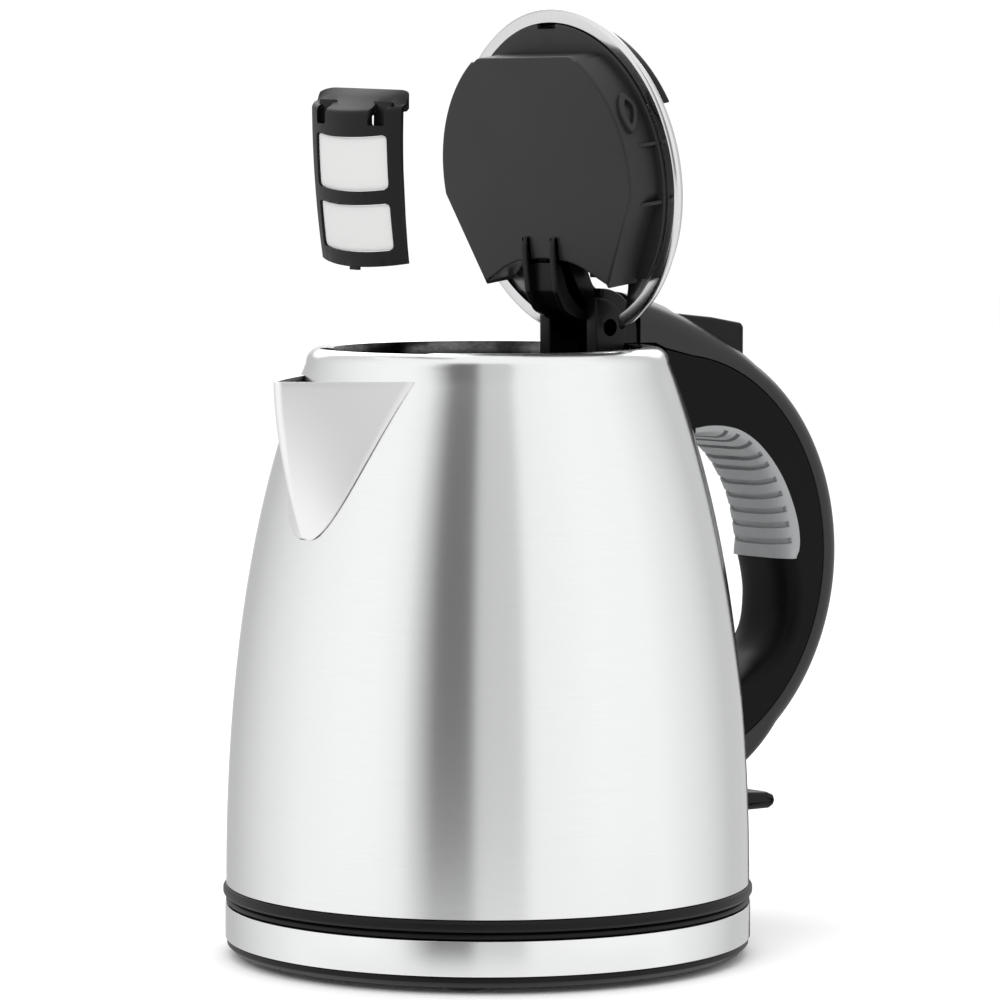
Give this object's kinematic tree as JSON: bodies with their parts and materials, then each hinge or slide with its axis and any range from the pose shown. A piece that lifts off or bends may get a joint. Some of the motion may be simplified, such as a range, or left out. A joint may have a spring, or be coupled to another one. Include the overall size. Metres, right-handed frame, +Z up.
{
  "type": "electric kettle",
  "caption": "Cordless electric kettle: tapered stainless body with V spout, arched rear handle with grey grip, hinged lid held open, lift-out spout filter, round power base.",
  "frame": {"origin": "on the kettle's vertical axis, in the flat centre of the power base's underside (the rubber feet stand 1.5 mm below it)", "axes": "+Z up along the kettle's axis, -X towards the spout, +X towards the handle, +Y to the right of the pouring direction"},
  "size_m": [0.2123, 0.1562, 0.278],
  "materials": {
    "steel": "satin brushed stainless steel",
    "chrome": "polished rolled edge",
    "black_plastic": "satin black moulded plastic",
    "lid_plastic": "charcoal moulded plastic with a fine grain",
    "grip_grey": "matte grey soft-touch grip",
    "clear_plastic": "translucent gauge window",
    "filter_mesh": "fine white woven nylon mesh",
    "foot_rubber": "matte rubber",
    "silicone": "matte translucent silicone",
    "brass": "plain brass contact",
    "aluminium": "plain, as turned"
  },
  "bodies": {
    "base": {"base_tray": "black_plastic", "base_band": "steel", "base_cover": "black_plastic", "base_connector": "black_plastic", "contact_ring": "brass", "contact_centre": "brass", "cord_gland": "black_plastic", "foot_1": "foot_rubber", "foot_2": "foot_rubber", "foot_3": "foot_rubber", "foot_4": "foot_rubber", "base_screw_1": "aluminium", "base_screw_2": "aluminium", "base_screw_3": "aluminium"},
    "kettle": {"body_shell": "steel", "spout": "steel", "bottom_ring": "black_plastic", "heating_plate": "steel", "seal_ring": "silicone", "heat_spreader": "aluminium", "heating_element": "aluminium", "kettle_connector": "black_plastic", "kettle_contact_ring": "brass", "kettle_contact_pin": "brass", "bottom_cover": "black_plastic", "bottom_screw_1": "aluminium", "bottom_screw_2": "aluminium", "bottom_screw_3": "aluminium", "filter_guide": "steel", "grip_insert": "grip_grey", "handle_body": "black_plastic", "handle_cover": "black_plastic", "button_pin": "aluminium", "handle_screw_1": "aluminium", "handle_screw_2": "aluminium", "steam_tube": "silicone", "spine": "black_plastic", "water_gauge": "clear_plastic", "switch_pin": "aluminium", "hinge_housing": "black_plastic", "hinge_pin": "aluminium", "lid_spring": "steel"},
    "lid": {"lid_ring": "chrome", "lid_cap": "steel", "lid_liner": "lid_plastic", "lid_arm": "black_plastic", "lid_knob": "black_plastic", "knob_screw_1": "aluminium", "knob_screw_2": "aluminium"},
    "release": {"release_button": "black_plastic"},
    "switch": {"switch_lever": "black_plastic"},
    "filter": {"filter_frame": "black_plastic", "filter_mesh_lower": "filter_mesh", "filter_mesh_upper": "filter_mesh"}
  },
  "joints": [
    {"name": "kettle_lift", "type": "slide", "parent": "base", "child": "kettle", "axis": [0, 0, 1], "range_m": [0, 0.1]},
    {"name": "lid_hinge", "type": "hinge", "parent": "kettle", "child": "lid", "pos_m": [0.0429, 0, 0.186], "axis": [0, 1, 0], "range_deg": [-82, 0], "stiffness_Nm_per_rad": 0.03, "springref_deg": 68.75},
    {"name": "lid_release", "type": "hinge", "parent": "kettle", "child": "release", "pos_m": [0.067, 0, 0.1795], "axis": [0, 1, 0], "range_deg": [0, 6], "stiffness_Nm_per_rad": 0.2, "springref_deg": -8.59},
    {"name": "switch_rocker", "type": "hinge", "parent": "kettle", "child": "switch", "pos_m": [0.0845, 0, 0.0354], "axis": [0, 1, 0], "range_deg": [0, 12], "stiffness_Nm_per_rad": 0.05, "springref_deg": -11.46},
    {"name": "filter_slide", "type": "slide", "parent": "kettle", "child": "filter", "axis": [-0.1195, -0.0299, 0.9924], "range_m": [-0.077, 0]}
  ]
}
